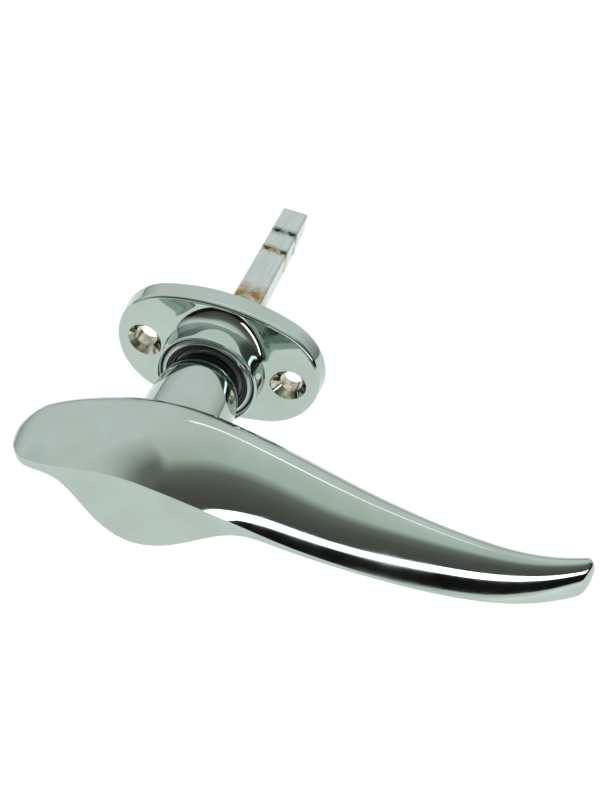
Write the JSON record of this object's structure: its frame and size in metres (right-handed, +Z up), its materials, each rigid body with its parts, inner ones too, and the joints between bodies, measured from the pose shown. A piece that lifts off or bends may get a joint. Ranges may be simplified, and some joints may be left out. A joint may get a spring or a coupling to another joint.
{
  "type": "lever turn handle",
  "caption": "Chrome lever turn handle on an oval two-screw rose, spring-returned, with a long square spindle that has break-off grooves.",
  "frame": {"origin": "on the spindle's axis, in the plane of the rose's back face", "axes": "+X along the lever towards its tip, +Z up, -Y out of the door towards the user"},
  "size_m": [0.13, 0.1262, 0.0358],
  "materials": {
    "chromed_zinc": "bright chrome plate over polished zinc casting",
    "chromed_steel": "thin chrome plate over drawn steel bar",
    "bright_steel": "turned bright steel",
    "black_rubber": "glossy moulded rubber",
    "white_acetal": "moulded acetal",
    "zinc_plated_steel": "zinc plated",
    "spring_steel": "drawn spring wire",
    "black_steel": "phosphated"
  },
  "bodies": {
    "rose": {"rose": "chromed_zinc", "bearing_bush": "white_acetal", "mouth_seal": "black_rubber", "mouth_ring": "bright_steel", "back_plate": "zinc_plated_steel", "back_plate_rivets": "zinc_plated_steel", "stop_pins": "bright_steel", "return_spring": "spring_steel"},
    "handle": {"lever_handle": "chromed_zinc", "spindle": "chromed_steel", "spindle_pin": "bright_steel", "o_ring": "black_rubber", "thrust_washer": "white_acetal", "drive_washer": "zinc_plated_steel", "disc_spring": "spring_steel", "flat_washer": "zinc_plated_steel", "circlip": "black_steel"}
  },
  "joints": [
    {"name": "handle_turn", "type": "hinge", "parent": "rose", "child": "handle", "pos_m": [0, 0, 0], "axis": [0, 1, 0], "range_deg": [0, 45], "stiffness_Nm_per_rad": 0.25, "springref_deg": -57.3, "deforming": ["return_spring"]}
  ]
}
